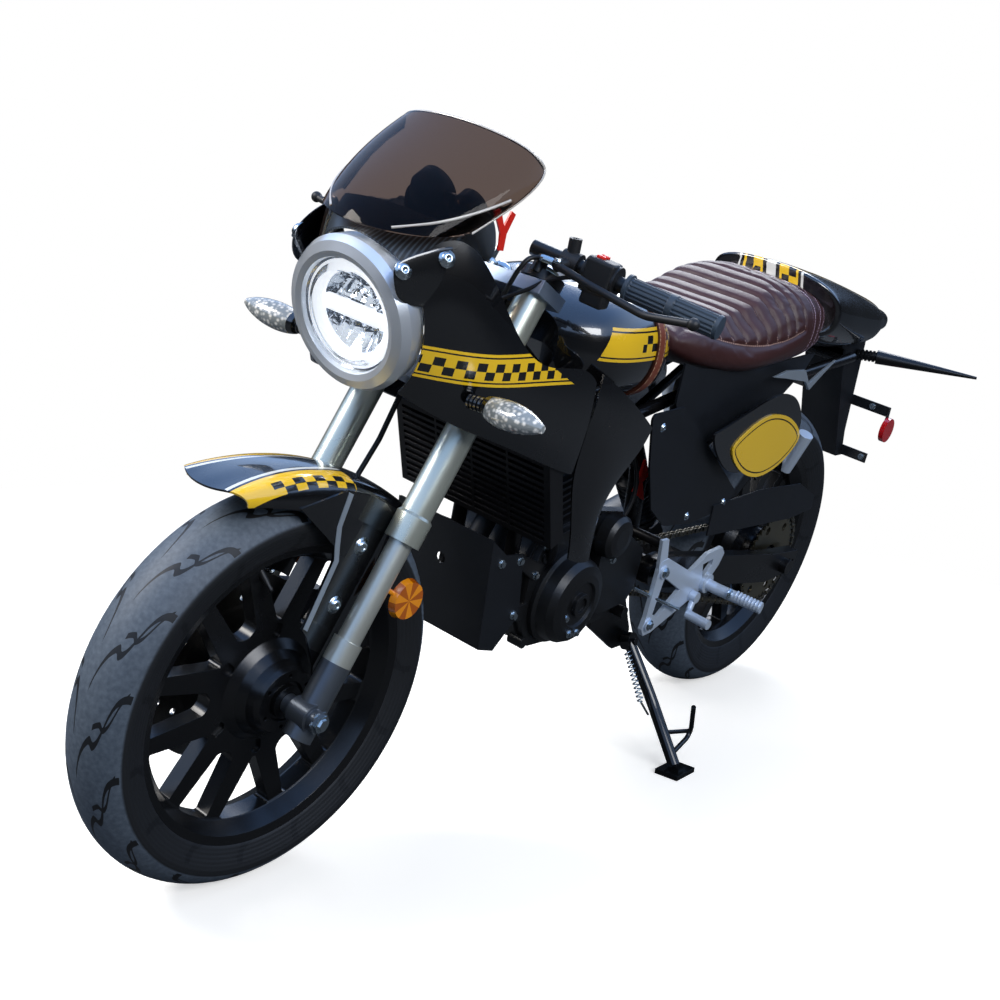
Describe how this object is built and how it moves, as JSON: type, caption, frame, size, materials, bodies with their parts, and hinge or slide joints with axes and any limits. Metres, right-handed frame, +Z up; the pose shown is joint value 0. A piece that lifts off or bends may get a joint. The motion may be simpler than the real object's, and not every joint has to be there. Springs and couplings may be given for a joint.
{
  "type": "cafe racer motorcycle",
  "caption": "Cafe racer motorcycle parked on its side stand, with a half fairing, clip-on bars, cast wheels and a pleated leather seat.",
  "frame": {"origin": "centre of the overall box in plan, on the floor that the tyres and the stand rest on", "axes": "+X forward along the machine, +Y to the rider's left, +Z up from the floor"},
  "size_m": [2.0246, 0.7156, 1.0731],
  "materials": {
    "tyre_rubber": "satin rubber",
    "wheel_paint": "satin black paint",
    "disc_steel": "ground steel",
    "titanium_anodised": "satin anodised",
    "fork_casting": "satin cast",
    "yoke_alloy": "satin anodised",
    "bar_paint": "satin black paint",
    "grip_rubber": "ribbed rubber",
    "switch_plastic": "moulded, fine grain",
    "gloss_black": "gloss lacquer",
    "matte_black": "moulded, matte",
    "caliper_metal": "hard anodised",
    "hose_rubber": "smooth rubber",
    "amber_lens": "faceted lens",
    "frame_paint": "gloss black paint",
    "engine_paint": "satin black paint",
    "exhaust_steel": "heat-resistant black",
    "radiator_metal": "black fins",
    "sprocket_steel": "zinc plated",
    "chain_steel": "oiled steel",
    "spring_steel": "gloss black coil",
    "lamp_ring_metal": "satin brushed",
    "reflector_chrome": "mirror",
    "clear_lens": "clear",
    "smoked_screen": "smoked",
    "signal_lens": "clear faceted",
    "signal_black": "moulded",
    "strap_leather": "stitched",
    "seat_leather": "pleated and stitched",
    "forged_alloy": "satin silver",
    "red_lens": "moulded lens",
    "stand_paint": "gloss black paint",
    "panel_yellow": "gloss yellow, blank"
  },
  "bodies": {
    "chassis": {"frame": "frame_paint", "engine_block": "engine_paint", "engine_covers": "engine_paint", "exhaust": "exhaust_steel", "radiator": "radiator_metal", "radiator_shrouds": "gloss_black", "belly_pan": "matte_black", "swingarm": "frame_paint", "chain": "chain_steel", "chain_guard": "matte_black", "rear_caliper": "caliper_metal", "shock_absorber": "spring_steel", "headlamp_ring": "lamp_ring_metal", "headlamp_bowl": "reflector_chrome", "headlamp_lens": "clear_lens", "fairing_panels": "gloss_black", "dash_cover": "matte_black", "windscreen": "smoked_screen", "instrument_panel": "switch_plastic", "front_signals": "signal_lens", "fuel_tank": "gloss_black", "filler_cap": "lamp_ring_metal", "tank_strap": "strap_leather", "seat": "seat_leather", "tail_cowl": "gloss_black", "side_covers": "gloss_black", "race_panels": "panel_yellow", "mid_covers": "matte_black", "footrests": "forged_alloy", "foot_levers": "forged_alloy", "plate_hanger": "matte_black", "side_reflectors": "red_lens", "rear_signals": "signal_black", "tail_lamp": "red_lens"},
    "steering": {"fork_outer_tubes": "titanium_anodised", "fork_sliders": "fork_casting", "fork_yokes": "yoke_alloy", "handlebars": "bar_paint", "hand_grips": "grip_rubber", "hand_controls": "switch_plastic", "front_mudguard": "gloss_black", "front_caliper": "caliper_metal", "brake_hose": "hose_rubber", "fork_reflectors": "amber_lens"},
    "front_wheel": {"front_tyre": "tyre_rubber", "front_rim": "wheel_paint", "front_disc": "disc_steel"},
    "rear_wheel": {"rear_tyre": "tyre_rubber", "rear_rim": "wheel_paint", "rear_disc": "disc_steel", "rear_sprocket": "sprocket_steel"},
    "side_stand": {"side_stand": "stand_paint"}
  },
  "joints": [
    {"name": "steering", "type": "hinge", "parent": "chassis", "child": "steering", "pos_m": [0.68807, -0.09602, 0.27497], "axis": [-0.4276, 0.1414, 0.8928], "range_deg": [-26, 33]},
    {"name": "front_wheel_spin", "type": "hinge", "parent": "steering", "child": "front_wheel", "pos_m": [0.72046, -0.09585, 0.29045], "axis": [0.0568, 0.9899, -0.1296], "continuous": true},
    {"name": "rear_wheel_spin", "type": "hinge", "parent": "chassis", "child": "rear_wheel", "pos_m": [-0.65619, -0.09024, 0.3111], "axis": [0, 0.9877, -0.1564], "continuous": true},
    {"name": "side_stand_fold", "type": "hinge", "parent": "chassis", "child": "side_stand", "pos_m": [-0.14816, -0.01969, 0.20691], "axis": [0, 0.9903, 0.1392], "range_deg": [0, 92]}
  ]
}
